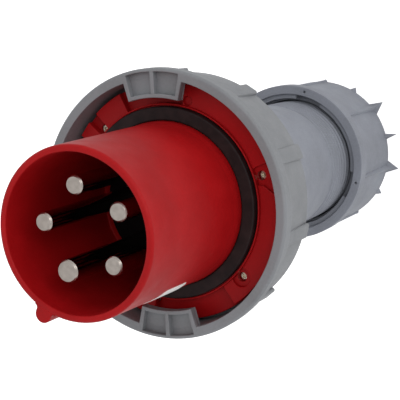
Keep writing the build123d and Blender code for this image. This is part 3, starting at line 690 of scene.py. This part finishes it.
def label():
    """Blank label bent round the tapered shroud, with rounded corners."""
    across, along = LABEL_ACROSS, LABEL_ALONG
    shape = bmesh.new()
    layers = [[label_row(shape, j, lift) for j in range(along + 1)] for lift in LABEL_LIFTS]
    for rows in layers:
        for j in range(along):
            for i in range(across):
                shape.faces.new((rows[j][i], rows[j][i + 1], rows[j + 1][i + 1], rows[j + 1][i]))
    rim = [(0, i) for i in range(across)] + [(j, across) for j in range(along)]
    rim += [(along, i) for i in range(across, 0, -1)] + [(j, 0) for j in range(along, 0, -1)]
    back, face = layers
    for n, (j, i) in enumerate(rim):
        j2, i2 = rim[(n + 1) % len(rim)]
        shape.faces.new((back[j][i], back[j2][i2], face[j2][i2], face[j][i]))
    return closed("blank_sticker", shape, FILM)


show(label(), "plug", "label_film", "blank_label")

# Contact pins

PIN_TIP_S = 8.0
PIN_CHAMFER = 0.9
PIN_COLLAR_S = 102.0
PIN_END_S = 140.0
PIN_SEAT_STEP = 0.6  # each step is added to the pin's radius
PIN_TERMINAL_STEP = 3.0
PIN_COLLAR_STEP = 4.0


def contact_pin(pole, bearing, radius):
    """Pin with a chamfered tip, a seat in the carrier, a collar and its terminal."""
    seat = radius + PIN_SEAT_STEP
    collar = radius + PIN_COLLAR_STEP
    terminal = radius + PIN_TERMINAL_STEP
    corners = [
        (0, up(PIN_END_S)),
        (terminal, up(PIN_END_S), 0.9),
        (terminal, up(JOINT_S), 0.2),
        (collar, up(JOINT_S), 0.2),
        (collar, up(PIN_COLLAR_S), 0.2),
        (seat, up(PIN_COLLAR_S), 0.1),
        (seat, up(LIP_S), 0.2),
        (radius, up(LIP_S), 0.2),
        (radius, up(PIN_TIP_S + PIN_CHAMFER), 0.25),
        (radius - PIN_CHAMFER, up(PIN_TIP_S), 0.2),
        (0, up(PIN_TIP_S)),
    ]
    centre = spot(PIN_CIRCLE, bearing)
    return lathe("contact_" + pole, corners, NICKEL, centre, segments=64)


for pole, (bearing, radius) in POLES.items():
    show(contact_pin(pole, bearing, radius), "plug", "pin_metal", pole)

# Flange screws

SCREW_TOP_S = 100.4
SCREW_END_S = 120.6
SCREW_HEAD_R = 2.3
SCREW_SHANK_R = 1.7
SCREW_CAP = 1.3  # thickness of the cap that the lobed recess goes through
LOBE_R = 1.0
LOBE_SWING = 0.16


def screw():
    """Small cap screw at bearing 0 with a six-lobed recess."""
    x, y = spot(SCREW_CIRCLE, 0)
    top = up(SCREW_TOP_S)
    recess = []
    for i in range(48):
        angle = 2 * pi * i / 48
        r = LOBE_R + LOBE_SWING * cos(6 * angle)
        recess.append((x + r * cos(angle), y + r * sin(angle)))
    loops = [circle(SCREW_HEAD_R, x, y, 40), recess]
    cap = plate("screw_cap", loops, top - SCREW_CAP, top, ZINC, 0.25)
    floor = top - SCREW_CAP + 0.1
    corners = [
        (0, up(SCREW_END_S)),
        (SCREW_SHANK_R, up(SCREW_END_S)),
        (SCREW_SHANK_R, up(SEAT_S)),
        (SCREW_HEAD_R, up(SEAT_S)),
        (SCREW_HEAD_R, floor, 0.1),
        (0, floor),
    ]
    body = lathe("screw_body", corners, ZINC, centre=(x, y), segments=40)
    return joined("flange_screw", [cap, body], ZINC)


SCREWS = repeated("cap_screws", screw(), SCREW_COUNT, SCREW_BEARING, ZINC)
show(SCREWS, "plug", "screw_steel", "flange_screws")

# Bayonet ring

LUGS = (332.0, 152.0)
LUG_HALF = 15.0
LUG_R = 58.3
LUG_SIDE = 2.1
LUG_WALL = degrees(LUG_SIDE / LUG_R)
LUG_RIB = degrees(1.0 / LUG_R)
LUG_BACK_S = 90.0
LUG_POCKET_R = 72.2
RING_FACE_S = 84.02
RING_FACE_BACK_S = 88.3
RING_FACE_R = 73.0
RING_BORE_R = 68.5
RING_END_S = 125.0
NOSE_S = 85.7
NOSE_R = 72.47
NOSE_BEND = 1.7
PAD_COUNT = 10
PAD_BEARING = 5.5
PAD_HALF = 4.25
PAD_INNER_R = 68.9
PAD_R = 71.6
PAD_FRONT_S = 92.0
STOP_SPAN = (97.0, 103.0)


def ring_face_loops():
    """Front face of the ring with its two lugs and their pockets."""
    outline = []
    for centre in LUGS:
        outline += arc(LUG_R, centre + LUG_HALF, centre - LUG_HALF)
        following = centre - 180.0
        outline += arc(RING_BORE_R, centre - LUG_HALF, following + LUG_HALF)
    loops = [circle(RING_FACE_R, count=240), outline]
    for centre in LUGS:
        for start, end in ((-LUG_HALF + LUG_WALL, -LUG_RIB), (LUG_RIB, LUG_HALF - LUG_WALL)):
            inner = LUG_R + LUG_SIDE
            loops.append(sector_loop(inner, LUG_POCKET_R, centre + start, centre + end))
    return loops


def grip_pad():
    """Soft-edged grip pad at bearing 0."""
    low, high = up(RING_END_S), up(PAD_FRONT_S)
    corners = [
        (-PAD_HALF, PAD_INNER_R, low),
        (PAD_HALF, PAD_INNER_R, low),
        (PAD_HALF, PAD_R, low),
        (-PAD_HALF, PAD_R, low),
    ]
    corners += [(x, y, high) for x, y, z in corners]
    return solid("grip_pad", corners, BOX_FACES, RING, edge=1.2, segments=4)


def ring_wall():
    """Turned wall of the ring: a bead behind a round nose, then a cone to the rear."""
    nose = []
    for angle in range(4, 91, 8):
        turn = radians(angle)
        nose.append((NOSE_R + NOSE_BEND * sin(turn), up(NOSE_S) + NOSE_BEND * cos(turn), 0.0))
    corners = [
        (RING_BORE_R, up(88), 0.0),
        (nose[0][0], up(88), 0.0),
        *nose,
        (NOSE_R + NOSE_BEND, up(91.5), 1.2),
        (71.0, up(94.7), 1.2),
        (69.2, up(RING_END_S), 0.4),
        (66.3, up(RING_END_S), 0.4),
        (66.3, up(113.7), 0.2),
        (64.6, up(113.7), 0.3),
        (64.6, up(108.3), 0.3),
        (RING_BORE_R, up(108.3), 0.4),
    ]
    return lathe("ring_wall", corners, RING)


def bayonet_ring():
    """Wall, front face with lugs, grip pads and the inner stop."""
    face = ring_face_loops()
    parts = [ring_wall()]
    parts.append(plate("ring_face", face, up(RING_FACE_BACK_S), up(RING_FACE_S), RING, 0.35))
    half = LUG_HALF - 0.1
    for centre in LUGS:
        floor = sector_loop(LUG_R + 0.1, 69.0, centre - half, centre + half)
        parts.append(plate("lug_floor", [floor], up(LUG_BACK_S), up(87.9), RING, 0.3))
    parts.append(repeated("grip_pads", grip_pad(), PAD_COUNT, PAD_BEARING, RING))
    stop = sector_loop(64.7, 67.0, *STOP_SPAN)
    parts.append(plate("ring_stop", [stop], up(117.7), up(113.5), RING, 0.3))
    return joined("bayonet_coupling_ring", parts, RING)


show(bayonet_ring(), "coupling_ring", "ring_polyamide", "bayonet_ring")

# Rear housing with its threaded neck: heights above the table from here on, unless in up()

THREAD_PITCH = 4.5
THREAD_LOW = 30.8
THREAD_HIGH = 84.6
THREAD_CREST_R = 40.3
THREAD_STEPS = 96  # in one turn
THREAD_FADE = 30  # steps over which it rises from the neck at each end
THREAD_SIDE = [(0.5, 0.9), (0.9, 0.4), (1.4, -0.25)]  # across in mm, share of the height
NECK_R = 39.3
NECK_END = 28.0
NECK_BORE_R = 34.5


def neck_thread():
    """Rounded ridge wound round the neck, fading in at both ends."""
    left = [(-across, height) for across, height in reversed(THREAD_SIDE)]
    section = [*left, (0.0, 1.0), *THREAD_SIDE]
    turns = (THREAD_HIGH - THREAD_LOW) / THREAD_PITCH
    steps = int(turns * THREAD_STEPS)
    shape = bmesh.new()
    rows = []
    for i in range(steps + 1):
        angle = 2 * pi * turns * i / steps
        z = THREAD_LOW + (THREAD_HIGH - THREAD_LOW) * i / steps
        fade = min(1.0, i / THREAD_FADE, (steps - i) / THREAD_FADE)
        row = []
        for across, height in section:
            rise = height * fade - 0.25 * (1 - fade)
            r = NECK_R + (THREAD_CREST_R - NECK_R) * rise
            corner = (r * cos(angle) * MM, r * sin(angle) * MM, (z + across) * MM)
            row.append(shape.verts.new(corner))
        rows.append(row)
    for near, far in zip(rows, rows[1:]):
        for k in range(len(section) - 1):
            shape.faces.new((near[k], near[k + 1], far[k + 1], far[k]))
        shape.faces.new((near[-1], near[0], far[0], far[-1]))
    shape.faces.new(rows[0])
    shape.faces.new(list(reversed(rows[-1])))
    return closed("neck_thread", shape, GREY)


def rear_housing():
    """Bell and neck in one moulding."""
    corners = [
        (59.3, up(JOINT_S), 0.3),
        (64.3, up(JOINT_S), 0.4),
        (64.3, up(114), 0.2),
        (66.0, up(114), 0.3),
        (66.0, up(126), 1.5),
        (58.5, up(143), 12.0),
        (44.0, up(168), 12.0),
        (41.5, up(196), 3.0),
        (40.5, 87.8, 0.4),
        (NECK_R, 86.8, 0.4),
        (NECK_R, NECK_END + 1.2, 0.3),
        (NECK_R - 1.2, NECK_END, 0.3),
        (NECK_BORE_R, NECK_END, 0.3),
        (NECK_BORE_R, 70.0, 0.2),
        (30.0, 70.0, 0.5),
        (30.0, 74.0, 0.5),
        (NECK_BORE_R, 78.0, 0.5),
        (34.9, up(196), 2.0),
        (39.6, up(168), 8.0),
        (54.1, up(143), 8.0),
        (59.3, up(126), 2.0),
    ]
    return joined("housing_and_neck", [lathe("housing_shell", corners, GREY), neck_thread()], GREY)


show(rear_housing(), "plug", "housing_polyamide", "rear_housing")

# Gland nut

NUT_HEIGHT = 60.0
NUT_R = 49.4
NUT_BORE_R = 41.0
NUT_HOLE_R = 28.0
NUT_FLOOR = 10.0
NUT_COLLAR_R = 51.3
NUT_COLLAR_LOW = 51.0
NUT_MOUTH_R = 45.5
NUT_RIM = 57.5
BLIND_HOLE_R = 0.8
BLIND_HOLE_CIRCLE = 48.4
BLIND_HOLE_BEARING = 78.0
SEGMENT_INNER_R = 42.5
SEGMENT_BEARING = 37.0
SEGMENT_HALF = 33.5
FIN_ROOT_R = 47.2
FIN_SUNK_R = 46.2
FIN_GROUPS = 2
FIN_MIDDLE = 50.0  # bearing of a group's middle fin
MIDDLE_FIN = (7.6, 2.8, -2.8, False)
# Angle from the middle fin, height, angles of the outer and inner flanks, ridge.
SIDE_FINS = ((24.3, 8.1, 7.0, 6.0, True), (46.5, 2.9, 6.0, 4.0, False), (72.0, 1.7, 6.0, 3.5, True))
SPIKE_HEIGHT = 5.0
SPIKE_FOOT = 0.8
RIDGE = 1.3
RIDGE_END = 52.0


def nut_fin(tip, outer, inner, ridged):
    """Fin at bearing 0: a spike at the rear, which may run forward as a low ridge."""
    levels = [(0.0, tip, 1.0), (SPIKE_FOOT, tip, 1.0)]
    if ridged:
        levels += [(SPIKE_HEIGHT, RIDGE + (tip - RIDGE) * 0.35, 0.3), (RIDGE_END, RIDGE, 0.3)]
    else:
        levels.append((SPIKE_HEIGHT, -0.5, 1.0))
    corners = []
    for z, crest, slim in levels:
        flanks = spot(FIN_ROOT_R, outer), spot(FIN_ROOT_R, inner * slim)
        section = (flanks[0], (0.0, NUT_R + crest), flanks[1], (0.0, FIN_SUNK_R))
        corners += [(x, y, z) for x, y in section]
    last = len(corners)
    faces = [(0, 1, 2, 3), (last - 1, last - 2, last - 3, last - 4)]
    for start in range(0, last - 4, 4):
        for k in range(4):
            after = (k + 1) % 4
            faces.append((start + k, start + 4 + k, start + 4 + after, start + after))
    return solid("nut_fin", corners, faces, NUT, edge=0.25, segments=2)


def nut_fins():
    """Both groups of fins, on opposite sides of the nut."""
    fins = [repeated("middle_fins", nut_fin(*MIDDLE_FIN), FIN_GROUPS, FIN_MIDDLE, NUT)]
    for angle, tip, outer, inner, ridged in SIDE_FINS:
        for side in (1, -1):
            fin = nut_fin(tip, outer * side, -inner * side, ridged)
            bearing = FIN_MIDDLE + angle * side
            fins.append(repeated("side_fins", fin, FIN_GROUPS, bearing, NUT))
    return fins


def nut_body():
    """Turned body of the nut with its collar and its floor round the cable hole."""
    corners = [
        (NUT_HOLE_R, 0.0, 1.2),
        (NUT_R - 1.2, 0.0, 0.5),
        (NUT_R, 1.2, 0.5),
        (NUT_R, 49.1, 1.0),
        (NUT_COLLAR_R, NUT_COLLAR_LOW, 1.2),
        (NUT_COLLAR_R, NUT_RIM, 0.1),
        (NUT_MOUTH_R, NUT_RIM, 0.1),
        (NUT_MOUTH_R, NUT_COLLAR_LOW, 0.5),
        (NUT_BORE_R, NUT_COLLAR_LOW, 0.4),
        (NUT_BORE_R, NUT_FLOOR, 0.4),
        (NUT_HOLE_R, NUT_FLOOR, 0.5),
    ]
    return lathe("nut_body", corners, NUT)


def gland_nut():
    """Nut with its body, rim with blind holes, mouth segments and fins."""
    parts = [nut_body()]
    face = [circle(NUT_COLLAR_R, count=240), circle(NUT_MOUTH_R, count=240)]
    for i in range(4):
        x, y = spot(BLIND_HOLE_CIRCLE, BLIND_HOLE_BEARING + 90 * i)
        face.append(circle(BLIND_HOLE_R, x, y, count=16))
    parts.append(plate("nut_rim", face, NUT_RIM - 0.3, NUT_HEIGHT, NUT, 0.5))
    for i in range(4):
        middle = SEGMENT_BEARING + 90 * i
        span = (middle - SEGMENT_HALF, middle + SEGMENT_HALF)
        loop = sector_loop(SEGMENT_INNER_R, NUT_MOUTH_R + 0.5, *span)
        low, high = NUT_COLLAR_LOW - 0.5, NUT_RIM - 0.1
        parts.append(plate("mouth_segment", [loop], low, high, NUT, 0.3))
    return joined("finned_gland_nut", parts + nut_fins(), NUT)


show(gland_nut(), "nut", "nut_polyamide", "gland_nut")

# CAD nodes that stay take their finish

for entry in frame["record"]["subparts"]:
    node = NODES[entry["node"]]
    node.data.materials.clear()
    node.data.materials.append(SLOTS[entry["material_slot"]])

# White table, light and camera

WHITE = bpy.data.materials.new("white_laminate_table")
WHITE.use_nodes = True
tree = WHITE.node_tree
tree.nodes.clear()
place = add(tree, "ShaderNodeTexCoord").outputs["Object"]
cloud = noise(tree, place, 300.0)
paint = ramp(tree, cloud, ((0.3, linear("#f4f4f4")), (0.7, linear("#fafafa"))))
table = add(tree, "ShaderNodeBsdfPrincipled", {"Base Color": paint, "Roughness": 0.7})
glow = add(tree, "ShaderNodeEmission", {"Color": (1.0, 1.0, 1.0, 1.0), "Strength": 0.6})
seen = add(tree, "ShaderNodeLightPath")
lit = add(tree, "ShaderNodeAddShader", {0: table.outputs[0], 1: glow.outputs[0]})
choice = {0: seen.outputs["Is Camera Ray"], 1: table.outputs[0], 2: lit.outputs[0]}
mixed = add(tree, "ShaderNodeMixShader", choice)
add(tree, "ShaderNodeOutputMaterial", {"Surface": mixed.outputs[0]})

bpy.ops.mesh.primitive_grid_add(x_subdivisions=2, y_subdivisions=2, size=8.0)
floor = bpy.context.object
floor.name = "white_table"
floor.data.materials.append(WHITE)

world = bpy.data.worlds.new("studio")
bpy.context.scene.world = world
world.use_nodes = True
tree = world.node_tree
tree.nodes.clear()
seen = add(tree, "ShaderNodeLightPath")
dim = add(tree, "ShaderNodeBackground", {"Color": (1.0, 1.0, 1.0, 1.0), "Strength": 0.82})
bright = add(tree, "ShaderNodeBackground", {"Color": (1.0, 1.0, 1.0, 1.0), "Strength": 1.0})
choice = {0: seen.outputs["Is Camera Ray"], 1: dim.outputs[0], 2: bright.outputs[0]}
mixed = add(tree, "ShaderNodeMixShader", choice)
add(tree, "ShaderNodeOutputWorld", {"Surface": mixed.outputs[0]})

# The camera is the one fitted to the photograph: 1200 pixels of focal length in 400.
EYE = Vector((235.55, 238.14, 790.23)) * MM
RIGHT = Vector((0.8091, 0.3644, -0.461))
UP = Vector((-0.48, 0.8624, -0.1608))
AHEAD = Vector((-0.3389, -0.3514, -0.8727))
MIDDLE = Vector((0, 0, 0.18))


def aim(made, place, ahead, above):
    """Places a lamp or camera looking along a direction."""
    back = -ahead.normalized()
    side = above.cross(back).normalized()
    above = back.cross(side)
    turn = Matrix((side, above, back)).transposed().to_4x4()
    made.matrix_world = Matrix.Translation(place) @ turn


def lamp(name, right, above, ahead, size, watts):
    """Soft lamp aimed at the plug's middle, placed from there in metres along the camera's axes."""
    data = bpy.data.lights.new(name, "AREA")
    data.shape = "DISK"
    data.size = size
    data.energy = watts
    made = bpy.data.objects.new(name, data)
    bpy.context.scene.collection.objects.link(made)
    place = MIDDLE + RIGHT * right + UP * above + AHEAD * ahead
    aim(made, place, MIDDLE - place, UP)


lamp("key_softbox", 0.6, 0.4, -0.8, 0.8, 2.4)
lamp("front_softbox", 0.0, 0.2, -1.3, 0.6, 2.2)
lamp("low_softbox", 0.35, -0.9, -0.5, 0.8, 0.4)

lens = bpy.data.cameras.new("camera")
lens.sensor_width = 36.0
lens.lens = 108.0
lens.clip_start = 0.05
lens.clip_end = 20.0
camera = bpy.data.objects.new("camera", lens)
bpy.context.scene.collection.objects.link(camera)
aim(camera, EYE, AHEAD, UP)
bpy.context.scene.camera = camera
bpy.context.scene.view_settings.view_transform = "Standard"
